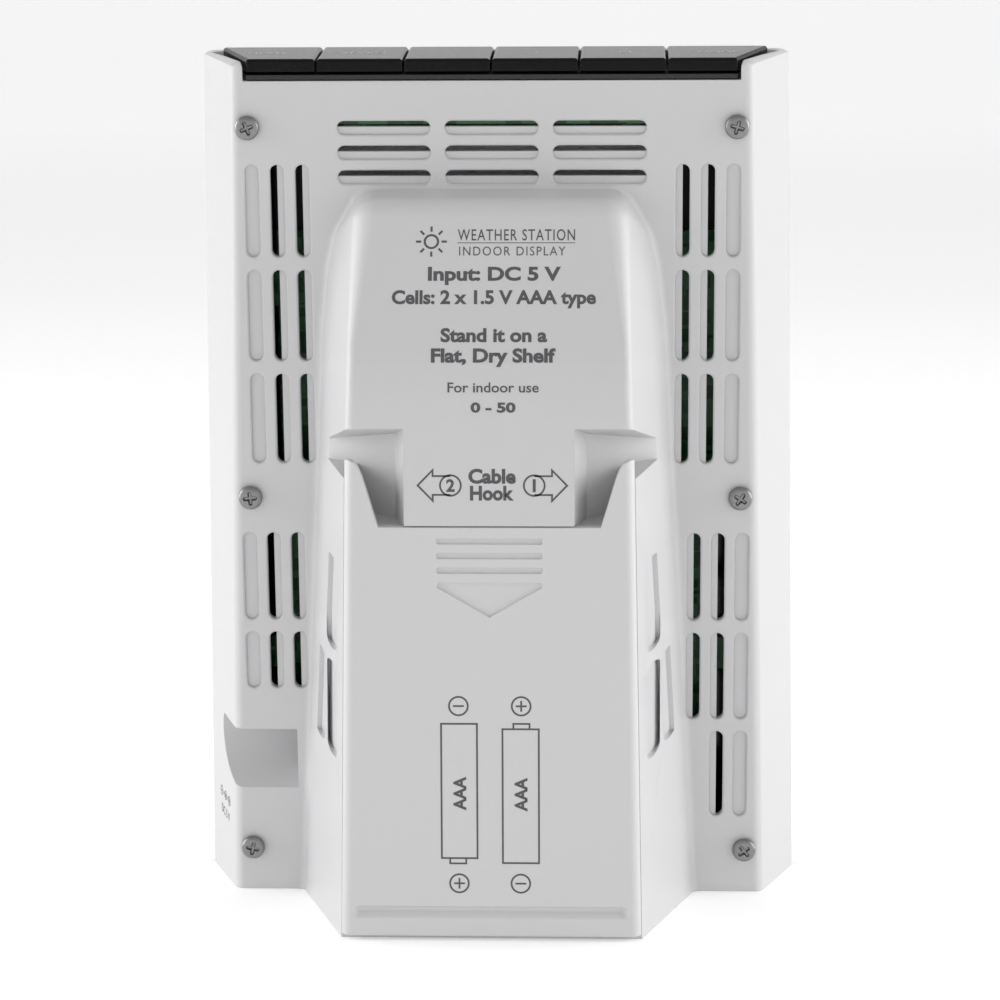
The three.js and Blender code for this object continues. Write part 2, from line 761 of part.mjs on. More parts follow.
place('rear_case', rearCase(), whitePlastic);
place('battery_door', batteryDoor(), doorPlastic);
place('front_bezel', frontBezel(), glossBlack);
place('display_window', displayWindow(), clearPlastic);
place('lcd_panel', screenPlate(-24.9, -22.9), screenGlass);
place('backlight_guide', screenPlate(-22.6, -20.3), lightGuide);
place('lcd_frame', screenFrame(), blackPlastic);
place('key_carrier', keyCarrier(), blackPlastic);
place('key_board', keyBoard(), boardGreen);
for (let index = 0; index < 6; index += 1) {
  place(`button_${index + 1}`, keyCap(index), glossBlack);
  place(`switch_${index + 1}`, switchHousing(index), tinCan);
  place(`switch_plunger_${index + 1}`, switchPlunger(index), blackPlastic);
}
place('main_board', mainBoard(), boardGreen);
place('dc_jack', dcJack(), blackPlastic);
place('antenna_rod', antennaRod(), ferrite);
place('antenna_coil', antennaCoil(), copper);
place('antenna_holder_left', antennaHolder(-1), blackPlastic);
place('antenna_holder_right', antennaHolder(1), blackPlastic);
place('buzzer', buzzer(), blackPlastic);
place('radio_module', block(14, 34, boardBack + gap, boardBack + 3, 12, 32), tinCan);
place('processor_chip', block(-12, 2, boardBack + gap, boardBack + 1.7, 10, 24), blackPlastic);
place('battery_1', cell(-1), cellJacket);
place('battery_2', cell(1), cellJacket);
place('battery_spring_1', cellSpring(-1), nickel);
place('battery_spring_2', cellSpring(1), nickel);
place('contact_plate_1', contactPlate(-1), nickel);
place('contact_plate_2', contactPlate(1), nickel);

let number = 0;
for (const side of [-1, 1]) {
  for (const [x, z] of screws) {
    number += 1;
    place(`case_screw_${number}`, panHeadScrew(side * x, z, 0, 2.8, screwRadius, 16), steel);
  }
}
boardScrews.forEach(([x, z], index) => {
  place(`board_screw_${index + 1}`, panHeadScrew(x, z, boardBack, 2.2, 1.1, 5), steel);
});

const extent = new THREE.Box3().setFromObject(group, true);
const middle = extent.getCenter(new THREE.Vector3());
group.position.set(-middle.x, -middle.y, -extent.min.z);
group.updateMatrixWorld(true);

export default group;
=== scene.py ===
"""Looks for the home weather station: moulded white case, gloss keys, prints, screws and display.

The CAD frame fixes every size and place. Shapes here are drawn either in the frame of the back
panel (x to the inlet's side, y out of the panel, z up along it) or in the frame of the battery
door, which is upright. Lengths are in millimetres, and MM turns them into the frame's metres.
"""

import json
import math

import bmesh
import bpy
from mathutils import Matrix, Vector
from mathutils.bvhtree import BVHTree


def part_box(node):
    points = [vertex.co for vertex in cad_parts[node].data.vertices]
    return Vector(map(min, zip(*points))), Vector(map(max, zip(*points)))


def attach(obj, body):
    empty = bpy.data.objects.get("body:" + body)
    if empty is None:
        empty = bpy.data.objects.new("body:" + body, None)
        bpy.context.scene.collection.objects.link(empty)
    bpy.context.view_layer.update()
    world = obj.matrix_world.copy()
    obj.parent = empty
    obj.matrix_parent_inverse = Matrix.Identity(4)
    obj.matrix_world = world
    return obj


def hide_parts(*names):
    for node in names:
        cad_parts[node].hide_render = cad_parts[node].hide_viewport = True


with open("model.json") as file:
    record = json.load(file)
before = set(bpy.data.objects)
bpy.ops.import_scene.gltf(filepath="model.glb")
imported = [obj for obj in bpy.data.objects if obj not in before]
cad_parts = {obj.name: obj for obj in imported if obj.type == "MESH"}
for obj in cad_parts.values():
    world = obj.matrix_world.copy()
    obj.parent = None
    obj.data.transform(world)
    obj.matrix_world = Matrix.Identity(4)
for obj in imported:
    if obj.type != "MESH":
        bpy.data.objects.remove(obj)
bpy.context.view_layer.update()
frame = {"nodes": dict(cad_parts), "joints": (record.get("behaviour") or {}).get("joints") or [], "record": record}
nodes = frame["nodes"]

MM = 0.001
CREST = 32.8            # door face above the panel at mid height
SOLE = 97.6             # underside below the panel's mid height

press = next(j for j in frame["joints"] if j["name"] == "key_1_press")["axis"]
LEAN = math.atan2(-press[1], -press[2])
door_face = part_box("battery_door")[1].y
panel_origin = Vector((0.0, door_face - CREST * MM * math.cos(LEAN), SOLE * MM * math.cos(LEAN)))
PANEL = Matrix.Translation(panel_origin) @ Matrix.Rotation(-LEAN, 4, "X")
UNPANEL = PANEL.inverted()
DOOR = PANEL @ Matrix.Translation((0, CREST * MM, 0)) @ Matrix.Rotation(LEAN, 4, "X")


# ---- materials ----------------------------------------------------------------------------
def new_material(name):
    material = bpy.data.materials.new(name)
    material.use_nodes = True
    tree = material.node_tree
    return material, tree, tree.nodes["Principled BSDF"]


def object_coords(tree):
    return tree.nodes.new("ShaderNodeTexCoord").outputs["Object"]


def noise(tree, coords, scale, detail=2.0, roughness=0.5):
    node = tree.nodes.new("ShaderNodeTexNoise")
    node.inputs["Scale"].default_value = scale
    node.inputs["Detail"].default_value = detail
    node.inputs["Roughness"].default_value = roughness
    tree.links.new(coords, node.inputs["Vector"])
    return node.outputs["Fac"]


def spread(tree, value, low, high):
    """Maps 0..1 to low..high."""
    node = tree.nodes.new("ShaderNodeMapRange")
    node.inputs["To Min"].default_value = low
    node.inputs["To Max"].default_value = high
    tree.links.new(value, node.inputs["Value"])
    return node.outputs["Result"]


def blend_colours(tree, factor, first, second):
    node = tree.nodes.new("ShaderNodeMix")
    node.data_type = "RGBA"
    node.inputs[6].default_value = (*first, 1)
    node.inputs[7].default_value = (*second, 1)
    tree.links.new(factor, node.inputs[0])
    return node.outputs[2]


def bump(tree, height, strength, distance):
    node = tree.nodes.new("ShaderNodeBump")
    node.inputs["Strength"].default_value = strength
    node.inputs["Distance"].default_value = distance
    tree.links.new(height, node.inputs["Height"])
    return node.outputs["Normal"]


def rounded_edges(tree, radius):
    """Normals that run over the edges as a moulded radius would."""
    node = tree.nodes.new("ShaderNodeBevel")
    node.samples = 4
    node.inputs["Radius"].default_value = radius * MM
    return node.outputs["Normal"]


def moulded_plastic(name, colour, roughness, texture=0.25, grain=2600, tint=0.02, edge=0):
    """Moulded ABS: a spark-eroded grain, slow changes of tone and of gloss."""
    material, tree, shader = new_material(name)
    coords = object_coords(tree)
    slow = noise(tree, coords, 14, 3)
    darker = tuple(c * (1 - tint) for c in colour)
    tree.links.new(blend_colours(tree, slow, colour, darker), shader.inputs["Base Color"])
    fine = noise(tree, coords, grain, 2, 0.6)
    tree.links.new(spread(tree, fine, roughness - 0.05, roughness + 0.07),
                   shader.inputs["Roughness"])
    surface = bump(tree, fine, texture, 0.00004)
    tree.links.new(surface, shader.inputs["Normal"])
    if edge:
        tree.links.new(rounded_edges(tree, edge), surface.node.inputs["Normal"])
    shader.inputs["Specular IOR Level"].default_value = 0.45
    return material


def gloss_plastic(name, colour, roughness=0.09, gloss=0.5):
    """Polished black plastic with faint flow waves and a little dust in the gloss."""
    material, tree, shader = new_material(name)
    coords = object_coords(tree)
    slow = noise(tree, coords, 60, 2)
    tree.links.new(blend_colours(tree, slow, colour, tuple(c * 1.35 for c in colour)),
                   shader.inputs["Base Color"])
    dust = noise(tree, coords, 900, 4, 0.7)
    tree.links.new(spread(tree, dust, roughness, roughness + 0.08), shader.inputs["Roughness"])
    tree.links.new(bump(tree, slow, 0.15, 0.0001), shader.inputs["Normal"])
    shader.inputs["Specular IOR Level"].default_value = gloss
    return material


def metal(name, colour, roughness, grain=1500, stretch=(1, 1, 1)):
    material, tree, shader = new_material(name)
    mapping = tree.nodes.new("ShaderNodeMapping")
    mapping.inputs["Scale"].default_value = stretch
    tree.links.new(object_coords(tree), mapping.inputs["Vector"])
    coords = mapping.outputs["Vector"]
    brushed = noise(tree, coords, grain, 4, 0.65)
    tree.links.new(blend_colours(tree, brushed, colour, tuple(c * 0.72 for c in colour)),
                   shader.inputs["Base Color"])
    tree.links.new(spread(tree, brushed, roughness - 0.06, roughness + 0.12),
                   shader.inputs["Roughness"])
    tree.links.new(bump(tree, brushed, 0.12, 0.00003), shader.inputs["Normal"])
    shader.inputs["Metallic"].default_value = 1.0
    return material


def circuit_board(name):
    """Green solder resist with a regular web of copper tracks under it."""
    material, tree, shader = new_material(name)
    coords = object_coords(tree)
    cells = tree.nodes.new("ShaderNodeTexVoronoi")
    cells.distance = "CHEBYCHEV"
    cells.feature = "F1"
    cells.inputs["Scale"].default_value = 260
    tree.links.new(coords, cells.inputs["Vector"])
    edge = tree.nodes.new("ShaderNodeMath")
    edge.operation = "GREATER_THAN"
    edge.inputs[1].default_value = 0.42
    tree.links.new(cells.outputs["Distance"], edge.inputs[0])
    tree.links.new(blend_colours(tree, edge.outputs[0], (0.015, 0.11, 0.035), (0.05, 0.24, 0.08)),
                   shader.inputs["Base Color"])
    tree.links.new(bump(tree, edge.outputs[0], 0.3, 0.00003), shader.inputs["Normal"])
    shader.inputs["Roughness"].default_value = 0.32
    return material


def clear_plastic(name):
    material, tree, shader = new_material(name)
    smudge = noise(tree, object_coords(tree), 40, 3)
    tree.links.new(spread(tree, smudge, 0.015, 0.05), shader.inputs["Roughness"])
    shader.inputs["Base Color"].default_value = (0.96, 0.98, 1.0, 1)
    shader.inputs["Transmission Weight"].default_value = 1.0
    shader.inputs["IOR"].default_value = 1.49
    return material


def lit_segments(name, colour, strength=1.3):
    """LCD segments lit from behind, very slightly uneven like a real backlight."""
    material, tree, shader = new_material(name)
    glow = noise(tree, object_coords(tree), 18, 1)
    tree.links.new(spread(tree, glow, strength * 0.9, strength * 1.1),
                   shader.inputs["Emission Strength"])
    shader.inputs["Emission Color"].default_value = (*colour, 1)
    shader.inputs["Base Color"].default_value = (*colour, 1)
    shader.inputs["Roughness"].default_value = 0.5
    return material


def ink(name, colour):
    material, tree, shader = new_material(name)
    speck = noise(tree, object_coords(tree), 3000, 2)
    tree.links.new(blend_colours(tree, speck, colour, tuple(c * 1.25 for c in colour)),
                   shader.inputs["Base Color"])
    shader.inputs["Roughness"].default_value = 0.55
    return material


MAT = {
    "case_white": moulded_plastic("case_white", (0.575, 0.572, 0.580), 0.40, edge=0.35),
    "door_white": moulded_plastic("door_white", (0.60, 0.597, 0.605), 0.38),
    "key_black": gloss_plastic("key_black", (0.003, 0.003, 0.0035), 0.16, 0.14),
    "gloss_black": gloss_plastic("gloss_black", (0.010, 0.010, 0.012), 0.07),
    "window_clear": clear_plastic("window_clear"),
    "lcd_glass": gloss_plastic("lcd_glass", (0.006, 0.009, 0.016), 0.15),
    "light_guide": moulded_plastic("light_guide", (0.88, 0.90, 0.92), 0.3, 0.1),
    "black_plastic": moulded_plastic("black_plastic", (0.018, 0.018, 0.018), 0.5, 0.3, 2200, 0.2),
    "board_green": circuit_board("board_green"),
    "ferrite": moulded_plastic("ferrite", (0.06, 0.055, 0.05), 0.6, 0.5, 1400, 0.3),
    "copper_wire": metal("copper_wire", (0.72, 0.30, 0.12), 0.3, 1800, (8, 1, 1)),
    "tin_can": metal("tin_can", (0.66, 0.66, 0.67), 0.32),
    "nickel": metal("nickel", (0.70, 0.68, 0.63), 0.25),
    "screw_steel": metal("screw_steel", (0.30, 0.30, 0.30), 0.34, 2400),
    "cell_jacket": gloss_plastic("cell_jacket", (0.03, 0.10, 0.06), 0.2),
    "print_grey": ink("print_grey", (0.075, 0.07, 0.075)),
    "print_pale": ink("print_pale", (0.42, 0.42, 0.42)),
    "lit_white": lit_segments("lit_white", (0.85, 0.93, 1.0)),
    "lit_blue": lit_segments("lit_blue", (0.10, 0.50, 1.0)),
    "lit_amber": lit_segments("lit_amber", (1.0, 0.42, 0.06)),
    "lit_green": lit_segments("lit_green", (0.20, 0.85, 0.30)),
}

for row in frame["record"]["subparts"]:
    cad_piece = nodes[row["node"]]
    cad_piece.data.materials.clear()
    cad_piece.data.materials.append(MAT[row["material_slot"]])


# ---- mesh tools ---------------------------------------------------------------------------
def add_piece(name, mesh, material, body):
    """A visible piece that rides a body, with the given material."""
    piece = bpy.data.objects.new(name, mesh)
    bpy.context.scene.collection.objects.link(piece)
    mesh.materials.clear()
    mesh.materials.append(MAT[material])
    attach(piece, body)
    return piece


def smooth_faces(mesh, sharp_degrees):
    """Smooth shading, broken along edges sharper than the angle."""
    work = bmesh.new()
    work.from_mesh(mesh)
    for face in work.faces:
        face.smooth = True
    for edge in work.edges:
        edge.smooth = len(edge.link_faces) == 2 and \
            edge.calc_face_angle(0.0) < math.radians(sharp_degrees)
    work.to_mesh(mesh)
    work.free()


def stand_in(node, mesh, slot, body, sharp_degrees):
    """Puts a finished mesh in the place of a CAD node."""
    smooth_faces(mesh, sharp_degrees)
    piece = add_piece(f"{node}_skin", mesh, slot, body)
    weighted = piece.modifiers.new("weighted", "WEIGHTED_NORMAL")
    weighted.keep_sharp = True
    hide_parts(node)


def smoothed(node, slot, body, sharp_degrees=32):
    """A copy of a CAD node whose fine facets are shaded as the rounds they stand for."""
    mesh = nodes[node].data.copy()
    mesh.name = f"{node}_skin"
    work = bmesh.new()
    work.from_mesh(mesh)
    bmesh.ops.remove_doubles(work, verts=work.verts, dist=1e-6)
    work.to_mesh(mesh)
    work.free()
    stand_in(node, mesh, slot, body, sharp_degrees)


def refined(node, slot, body, width, segments=3, from_degrees=24, sharp_degrees=40):
    """A finer copy of a CAD node: flat faces merged, and every real edge given a moulded round."""
    work = bmesh.new()
    work.from_mesh(nodes[node].data)
    bmesh.ops.remove_doubles(work, verts=work.verts, dist=2e-6)
    bmesh.ops.dissolve_limit(work, angle_limit=math.radians(0.25), use_dissolve_boundaries=False,
                             verts=work.verts, edges=work.edges)
    crisp = [edge for edge in work.edges if len(edge.link_faces) == 2
             and edge.calc_face_angle(0.0) > math.radians(from_degrees)]
    bmesh.ops.bevel(work, geom=crisp, offset=width * MM, segments=segments, profile=0.5,
                    affect="EDGES", clamp_overlap=False, loop_slide=False)
    mesh = bpy.data.meshes.new(f"{node}_skin")
    work.to_mesh(mesh)
    work.free()
    stand_in(node, mesh, slot, body, sharp_degrees)


# ---- camera, lights and floor -------------------------------------------------------------
SKY = 0.55              # strength of the plain white world
FLOOR_GLOW = 0.27       # brings the floor up to the world's white
SIDE_POWER = 11.0       # of each side softbox, in watts
TOP_POWER = 1.0
SIDE_SIZE = (0.9, 1.0)
TOP_SIZE = (1.2, 0.8)


def place_camera():
    """Looks at the back panel from above and a little to the side away from the inlet."""
    turn, rise, roll = math.radians(2.3), math.radians(15.3), math.radians(-0.5)
    distance = 781
    aim = Vector((-1.2, 0, 0.7))
    back = Vector((-math.sin(turn) * math.cos(rise), math.cos(turn) * math.cos(rise),
                   math.sin(rise)))
    right = back.cross(Vector((0, 0, 1))).normalized() * -1
    up = back.cross(right)
    level = Matrix((right, up, back)).transposed()
    spin = Matrix.Rotation(roll, 3, "Z")
    camera = bpy.data.objects.new("camera", bpy.data.cameras.new("camera"))
    bpy.context.scene.collection.objects.link(camera)
    place = Matrix.Translation((aim + back * distance) * MM) @ (level @ spin).to_4x4()
    camera.matrix_world = PANEL @ place
    camera.data.sensor_width = 36
    camera.data.lens = 119.5
    camera.data.clip_start = 0.05
    camera.data.clip_end = 30
    bpy.context.scene.camera = camera


def area_light(name, place, target, size, power):
    """A rectangular softbox at a place, facing its target."""
    light = bpy.data.lights.new(name, "AREA")
    light.shape = "RECTANGLE"
    light.size, light.size_y = size
    light.energy = power
    lamp = bpy.data.objects.new(name, light)
    bpy.context.scene.collection.objects.link(lamp)
    lamp.location = place
    lamp.rotation_euler = (Vector(target) - Vector(place)).to_track_quat("-Z", "Y").to_euler()


def studio_floor():
    """A pale floor that sweeps up into a wall far behind, so no horizon shows from any side."""
    flat, bend, wall = 4.5, 1.5, 3.0
    profile = [(0.0, 0.0), (1.0, 0.0), (2.5, 0.0), (flat, 0.0)]
    profile += [(flat + bend * math.sin(a), bend - bend * math.cos(a))
                for a in (math.radians(step) for step in range(10, 91, 10))]
    profile.append((flat + bend, wall))
    turns = 96
    work = bmesh.new()
    rings = []
    for radius, height in profile[1:]:
        rings.append([work.verts.new((radius * math.cos(2 * math.pi * k / turns),
                                      radius * math.sin(2 * math.pi * k / turns), height))
                      for k in range(turns)])
    work.faces.new(rings[0])
    for low, high in zip(rings, rings[1:]):
        for k in range(turns):
            work.faces.new((low[k], high[k], high[(k + 1) % turns], low[(k + 1) % turns]))
    mesh = bpy.data.meshes.new("floor")
    work.to_mesh(mesh)
    work.free()
    for face in mesh.polygons:
        face.use_smooth = True
    floor = bpy.data.objects.new("floor", mesh)
    bpy.context.scene.collection.objects.link(floor)
    material, tree, shader = new_material("floor")
    shader.inputs["Base Color"].default_value = (0.9, 0.9, 0.9, 1)
    shader.inputs["Roughness"].default_value = 0.9
    shader.inputs["Emission Color"].default_value = (1, 1, 1, 1)
    shader.inputs["Emission Strength"].default_value = FLOOR_GLOW
    mesh.materials.append(material)


def studio():
    """White world, a softbox at each side, a weak one above, and the floor."""
    scene = bpy.context.scene
    scene.view_settings.view_transform = "Standard"
    world = bpy.data.worlds.new("studio")
    scene.world = world
    world.use_nodes = True
    world.node_tree.nodes["Background"].inputs["Color"].default_value = (1.0, 1.0, 1.0, 1)
    world.node_tree.nodes["Background"].inputs["Strength"].default_value = SKY
    middle = (0, 0, 0.1)
    area_light("left_softbox", (1.25, -0.05, 0.35), middle, SIDE_SIZE, SIDE_POWER)
    area_light("right_softbox", (-1.25, -0.05, 0.35), middle, SIDE_SIZE, SIDE_POWER)
    area_light("top_softbox", (0, -0.5, 1.3), middle, TOP_SIZE, TOP_POWER)
    studio_floor()


place_camera()
studio()


# ---- case, door and keys ------------------------------------------------------------------
smoothed("rear_case", "case_white", "root")
refined("battery_door", "door_white", "battery_door", 0.22, 2)
refined("key_carrier", "black_plastic", "root", 0.15, 2)
for number in range(1, 7):
    refined(f"button_{number}", "key_black", f"key_{number}", 0.3, 3)
refined("front_bezel", "gloss_black", "root", 0.35, 3)


# ---- case screws --------------------------------------------------------------------------
SCREW_RADIUS = 2.8
SCREW_RINGS = 40
SCREW_TURNS = 72
SCREW_SEAT = 1.6        # seat of the head below its top
SCREW_SHANK = ((SCREW_RADIUS, 0.0), (1.35, 0.0), (1.35, -14.0), (0.6, -16.0))   # radius, height


def screw_height(x, z):
    """Pan head with a cross recess, as a height above the head's seat."""
    r = math.hypot(x, z)
    part = min(r / SCREW_RADIUS, 1.0)
    dome = 0.62 + 1.0 * math.sqrt(max(0.0, 1.0 - part ** 2.6))
    arm = 0.30 + 0.10 * (1 - part)
    inside = min(abs(x), abs(z)) - arm
    depth = 0.95 * (1 - part * 0.75)
    slope = min(max((0.12 - inside) / 0.24, 0.0), 1.0)
    reach = min(max((0.60 * SCREW_RADIUS - r) / 0.3, 0.0), 1.0)
    return dome - depth * slope * reach


def screw_ring(work, radius, twist, height=None):
    """Ring of vertices round the screw's axis, on the head's surface if no height is given."""
    ring = []
    for turn in range(SCREW_TURNS):
        angle = 2 * math.pi * turn / SCREW_TURNS
        level = height
        if level is None:
            level = screw_height(radius * math.cos(angle), radius * math.sin(angle))
        spun = angle + twist
        ring.append(work.verts.new((radius * math.cos(spun), level, radius * math.sin(spun))))
    return ring


def case_screw(number):
    """Finer screw in the place of one CAD case screw, on its axis."""
    cad_mesh = nodes[f"case_screw_{number}"].data
    points = [UNPANEL @ v.co for v in cad_mesh.vertices]
    x = (min(p.x for p in points) + max(p.x for p in points)) / 2 / MM
    z = (min(p.z for p in points) + max(p.z for p in points)) / 2 / MM
    top = max(p.y for p in points) / MM
    twist = math.radians(17 * number)
    work = bmesh.new()
    centre = work.verts.new((0, screw_height(0, 0), 0))
    loops = [screw_ring(work, SCREW_RADIUS * ring / SCREW_RINGS, twist)
             for ring in range(1, SCREW_RINGS + 1)]
    loops += [screw_ring(work, radius, twist, height) for radius, height in SCREW_SHANK]
    for k in range(SCREW_TURNS):
        work.faces.new((centre, loops[0][(k + 1) % SCREW_TURNS], loops[0][k]))
    for inner, outer in zip(loops, loops[1:]):
        for k in range(SCREW_TURNS):
            after = (k + 1) % SCREW_TURNS
            work.faces.new((inner[k], inner[after], outer[after], outer[k]))
    work.faces.new(loops[-1])
    bmesh.ops.recalc_face_normals(work, faces=work.faces)
    mesh = bpy.data.meshes.new(f"case_screw_{number}_head")
    work.to_mesh(mesh)
    work.free()
    mesh.transform(PANEL @ Matrix.Scale(MM, 4) @ Matrix.Translation((x, top - SCREW_SEAT, z)))
    smooth_faces(mesh, 50)
    piece = add_piece(f"case_screw_{number}_fine", mesh, "screw_steel", "root")
    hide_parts(f"case_screw_{number}")


for number in range(1, 7):
    case_screw(number)


# ---- prints -------------------------------------------------------------------------------
FLIP = Matrix(((-1, 0, 0, 0), (0, 0, 1, 0), (0, 1, 0, 0), (0, 0, 0, 1)))
INK = 0.03              # thickness of a print above its surface
SUNK = 0.05             # and how far it reaches into it
BEND_INK, BEND_SUNK = 0.06, 0.08    # on the curved part of the nose
KEY_INK, KEY_SUNK = 0.02, 0.04
CAPITAL = 0.70          # height of a capital as a share of the font's size


def circle_points(x, y, radius, turns):
    angles = [2 * math.pi * k / turns for k in range(turns)]
    return [(x + radius * math.cos(a), y + radius * math.sin(a)) for a in angles]


class Print:
    """Line art and lettering on one flat surface, whose outer side is the place's Y axis."""

    def __init__(self, name, place, material, body, raised=INK, sunk=SUNK):
        self.name, self.place, self.material, self.body = name, place, material, body
        self.raised, self.sunk = raised, sunk
        self.work = bmesh.new()

    def plate(self, outline):
        top = [self.work.verts.new((x, y, self.raised)) for x, y in outline]
        low = [self.work.verts.new((x, y, -self.sunk)) for x, y in outline]
        self.work.faces.new(top)
        self.work.faces.new(low[::-1])
        for k in range(len(outline)):
            after = (k + 1) % len(outline)
            self.work.faces.new((top[after], top[k], low[k], low[after]))

    def ring(self, outer, inner):
        """Band between two outlines with the same number of points."""
        loops = [[self.work.verts.new((x, y, h)) for x, y in outline]
                 for outline, h in ((outer, self.raised), (outer, -self.sunk),
                                    (inner, -self.sunk), (inner, self.raised))]
        for a, b in zip(loops, loops[1:] + loops[:1]):
            for k in range(len(outer)):
                after = (k + 1) % len(outer)
                self.work.faces.new((a[k], b[k], b[after], a[after]))

    def rect(self, x0, x1, y0, y1):
        self.plate([(x0, y0), (x1, y0), (x1, y1), (x0, y1)])

    def frame(self, x0, x1, y0, y1, stroke):
        self.ring([(x0, y0), (x1, y0), (x1, y1), (x0, y1)],
                  [(x0 + stroke, y0 + stroke), (x1 - stroke, y0 + stroke),
                   (x1 - stroke, y1 - stroke), (x0 + stroke, y1 - stroke)])

    def circle(self, x, y, radius, stroke, turns=48):
        self.ring(circle_points(x, y, radius, turns), circle_points(x, y, radius - stroke, turns))

    def disc(self, x, y, radius, turns=40):
        self.plate(circle_points(x, y, radius, turns))

    def text(self, words, x, y, height, width=None, weight=0.0, turn=0, spacing=1.0):
        """Capitals of this height centred on x, y, squeezed or spread to the width if given."""
        curve = bpy.data.curves.new("words", "FONT")
        curve.body = words
        curve.size = height / CAPITAL
        curve.offset = weight
        curve.space_character = spacing
        curve.resolution_u = 4
        curve.extrude = (self.raised + self.sunk) / 2
        holder = bpy.data.objects.new("words", curve)
        bpy.context.scene.collection.objects.link(holder)
        mesh = bpy.data.meshes.new_from_object(
            holder.evaluated_get(bpy.context.evaluated_depsgraph_get()))
        bpy.data.objects.remove(holder)
        xs = [v.co.x for v in mesh.vertices]
        ys = [v.co.y for v in mesh.vertices]
        middle = ((min(xs) + max(xs)) / 2, (min(ys) + max(ys)) / 2)
        squeeze = width / (max(xs) - min(xs)) if width else 1.0
        mesh.transform(Matrix.Translation((x, y, (self.raised - self.sunk) / 2))
                       @ Matrix.Rotation(math.radians(turn), 4, "Z")
                       @ Matrix.Diagonal((squeeze, 1, 1, 1))
                       @ Matrix.Translation((-middle[0], -middle[1], 0)))
        self.work.from_mesh(mesh)
        bpy.data.meshes.remove(mesh)

    def finish(self):
        bmesh.ops.remove_doubles(self.work, verts=self.work.verts, dist=1e-4)
        bmesh.ops.recalc_face_normals(self.work, faces=self.work.faces)
        mesh = bpy.data.meshes.new(self.name)
        self.work.to_mesh(mesh)
        self.work.free()
        mesh.transform(self.place @ FLIP @ Matrix.Scale(MM, 4))
        add_piece(self.name, mesh, self.material, self.body)


def at_door(height):
    """Height on the door's face for a height above the panel's mid line."""
    return height / math.cos(LEAN)


STROKE = 0.42
SIGN_RADIUS = 2.35
SIGN_ARM = 1.25
NUB = 1.25              # how far a cell's nub stands out


def sign(art, x, y, plus):
    """A plus or minus sign in a circle."""
    art.circle(x, y, SIGN_RADIUS, STROKE)
    art.rect(x - SIGN_ARM, x + SIGN_ARM, y - STROKE / 2, y + STROKE / 2)
    if plus:
        art.rect(x - STROKE / 2, x + STROKE / 2, y + STROKE / 2, y + SIGN_ARM)
        art.rect(x - STROKE / 2, x + STROKE / 2, y - SIGN_ARM, y - STROKE / 2)


def cell_outline(art, left, right, top, bottom, nub, nub_up):
    """A cell drawn as a box, with its nub at the top or the bottom."""
    art.frame(left, right, bottom, top, STROKE)
    nub_left, nub_right = nub
    edge, tip = (top, top + NUB) if nub_up else (bottom, bottom - NUB)
    art.rect(nub_left, nub_left + STROKE, min(edge, tip), max(edge, tip))
    art.rect(nub_right - STROKE, nub_right, min(edge, tip), max(edge, tip))
    inner = tip - STROKE if nub_up else tip + STROKE
    art.rect(nub_left + STROKE, nub_right - STROKE, min(inner, tip), max(inner, tip))


door_art = Print("door_print", DOOR, "print_grey", "battery_door")
cell_outline(door_art, -11.4, -2.8, at_door(-41.7), at_door(-73.4), (-9.5, -5.4), False)
cell_outline(door_art, 2.6, 11.3, at_door(-42.9), at_door(-74.5), (5.1, 9.2), True)
door_art.text("AAA", -7.0, at_door(-58.1), 2.75, 7.9, 0.14, 90)
door_art.text("AAA", 7.0, at_door(-58.3), 2.75, 7.9, 0.14, 90)
sign(door_art, -7.2, at_door(-37.8), False)
sign(door_art, -7.2, at_door(-79.1), True)
sign(door_art, 7.1, at_door(-37.8), True)
sign(door_art, 6.9, at_door(-79.1), False)
door_art.finish()


def hook_arrow(art, side, tip, head, circle, y):
    """Outlined arrow whose tail is the circle round its number, pointing to side 1 or -1."""
    half, neck, number_ring, s = 4.0, 2.35, 2.55, STROKE
    barb = s * 2.4
    outer = [(tip, y), (head, y + half), (head, y + neck), (circle, y + neck)]
    outer += [(circle, y - neck), (head, y - neck), (head, y - half)]
    slant = s * 1.45
    inner = [(tip - side * slant, y), (head + side * s, y + half - barb),
             (head + side * s, y + neck - s), (circle, y + neck - s)]
    inner += [(circle, y - neck + s), (head + side * s, y - neck + s),
              (head + side * s, y - half + barb)]
    for k in (0, 1, 2, 4, 5, 6):
        after = (k + 1) % 7
        art.plate([outer[k], outer[after], inner[after], inner[k]])
    art.circle(circle, y, number_ring, s)


neck_art = Print("neck_print", DOOR, "print_grey", "root")
arrow_y = at_door(12.65)
hook_arrow(neck_art, -1, -16.4, -12.5, -8.7, arrow_y)
hook_arrow(neck_art, 1, 17.9, 14.0, 10.2, arrow_y)
neck_art.text("2", -8.7, arrow_y, 2.7, None, 0.13)
neck_art.text("1", 10.2, arrow_y, 2.7, None, 0.16)
neck_art.text("Cable", 0.7, at_door(14.75), 3.1, 10.7, 0.18)
neck_art.text("Hook", 0.65, at_door(10.9), 3.1, 9.9, 0.18)
neck_art.finish()


# ---- label on the hump --------------------------------------------------------------------
def case_tree():
    """The case's surface, for finding where a print lies on it."""
    work = bmesh.new()
    work.from_mesh(nodes["rear_case"].data)
    tree = BVHTree.FromBMesh(work)
    work.free()
    return tree


CASE = case_tree()
OUTSIDE = 80            # a distance from the panel that is clear of the case
BESIDE = 90             # and one from its middle line


def case_depth(x, z):
    """Height of the case's surface over the panel at one place, in millimetres."""
    start = PANEL @ (Vector((x, OUTSIDE, z)) * MM)
    toward = PANEL.to_3x3() @ Vector((0, -1, 0))
    place = CASE.ray_cast(start, toward)[0]
    return (UNPANEL @ place).y / MM


